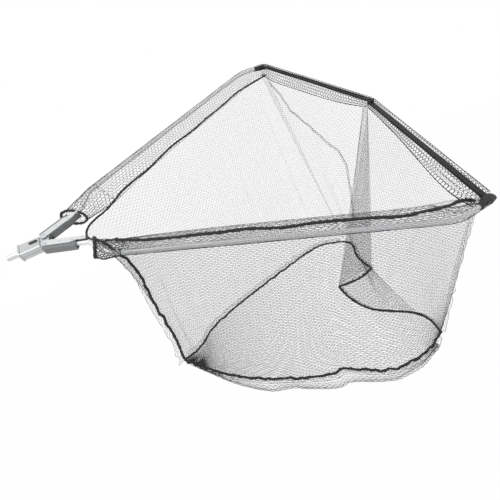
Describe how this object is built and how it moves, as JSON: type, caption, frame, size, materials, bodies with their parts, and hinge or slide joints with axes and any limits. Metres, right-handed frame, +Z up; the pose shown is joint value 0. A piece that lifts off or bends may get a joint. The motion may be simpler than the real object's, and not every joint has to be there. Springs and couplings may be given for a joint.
{
  "type": "landing net",
  "caption": "Folding triangular landing net head: plain round stud and collar, two hinged tube arms, two folding front bars and a deep black mesh bag.",
  "frame": {"origin": "the shoulder of the stud, where the handle seats, on the stud's axis", "axes": "+X forward from the stud to the middle joint of the front bars, +Y to the left arm's side, +Z up; the hoop is rolled 40 degrees about X, left arm up, and the bag hangs down -Z"},
  "size_m": [0.9881, 0.6726, 0.8541],
  "materials": {
    "stud": "turned aluminium alloy, fine lathe lines",
    "collar": "satin die-cast alloy",
    "button": "black moulded plastic",
    "rivet": "zinc-plated steel rivets",
    "bracket": "grey coated sheet metal",
    "strap": "bright rolled aluminium strap",
    "tube": "satin anodised tube",
    "elbow": "black moulded nylon",
    "bar": "black coated bar",
    "black_rivet": "blackened steel rivet",
    "netting": "black knotless nylon netting, hexagonal mesh about 5 mm",
    "cord": "black braided nylon cord"
  },
  "bodies": {
    "hub": {"handle_stud": "stud", "collar": "collar", "fork_plate_upper": "collar", "fork_plate_lower": "collar", "pivot_pin_left": "rivet", "pivot_pin_right": "rivet", "back_hem_cord": "cord", "back_seam_cord": "cord", "bottom_panel": "netting", "bottom_seam_cord": "cord"},
    "lock_button_body": {"lock_button": "button"},
    "left_arm": {"arm_bracket_left": "bracket", "inner_channel_left": "bracket", "arm_strap_left": "strap", "strap_rivets_left": "rivet", "arm_tube_left": "tube", "elbow_left": "elbow", "elbow_pin_left": "black_rivet", "arm_sleeve_left": "netting", "sleeve_cuff_left": "netting", "hem_cord_left": "cord", "net_wall_left": "netting"},
    "right_arm": {"arm_bracket_right": "bracket", "inner_channel_right": "bracket", "arm_strap_right": "strap", "strap_rivets_right": "rivet", "arm_tube_right": "tube", "elbow_right": "elbow", "elbow_pin_right": "black_rivet", "arm_sleeve_right": "netting", "sleeve_cuff_right": "netting", "hem_cord_right": "cord", "net_wall_right": "netting"},
    "left_front_bar": {"front_bar_left": "bar", "apex_rivet_left": "black_rivet", "front_sleeve_left": "netting", "front_hem_cord_left": "cord", "front_net_left": "netting"},
    "right_front_bar": {"front_bar_right": "bar", "apex_rivet_right": "black_rivet", "front_sleeve_right": "netting", "front_hem_cord_right": "cord", "front_net_right": "netting"}
  },
  "joints": [
    {"name": "fold", "type": "hinge", "parent": "hub", "child": "right_arm", "pos_m": [0.052, -0.01073, -0.009], "axis": [0, -0.6428, 0.766], "range_deg": [0, 24], "deforming": ["arm_sleeve_right", "sleeve_cuff_right", "hem_cord_right", "net_wall_right", "bottom_panel", "bottom_seam_cord", "back_hem_cord", "back_seam_cord"]},
    {"name": "fold_left", "type": "hinge", "parent": "hub", "child": "left_arm", "pos_m": [0.052, 0.01073, 0.009], "axis": [0, -0.6428, 0.766], "range_deg": [-24, 0], "deforming": ["arm_sleeve_left", "sleeve_cuff_left", "hem_cord_left", "net_wall_left"]},
    {"name": "bar_right", "type": "hinge", "parent": "right_arm", "child": "right_front_bar", "pos_m": [0.852, -0.3248, -0.27254], "axis": [0, -0.6428, 0.766], "range_deg": [-92.27, 0], "deforming": ["front_sleeve_right", "front_hem_cord_right", "front_net_right"]},
    {"name": "bar_left", "type": "hinge", "parent": "left_arm", "child": "left_front_bar", "pos_m": [0.852, 0.3248, 0.27254], "axis": [0, -0.6428, 0.766], "range_deg": [0, 92.27], "deforming": ["front_sleeve_left", "front_hem_cord_left", "front_net_left"]},
    {"name": "lock_button", "type": "slide", "parent": "hub", "child": "lock_button_body", "axis": [0, -0.6428, 0.766], "range_m": [-0.0018, 0]}
  ],
  "couplings": [
    {"joint": "fold_left", "follows": "fold", "ratio": -1},
    {"joint": "bar_right", "follows": "fold", "ratio": -3.8445},
    {"joint": "bar_left", "follows": "fold", "ratio": 3.8445}
  ]
}
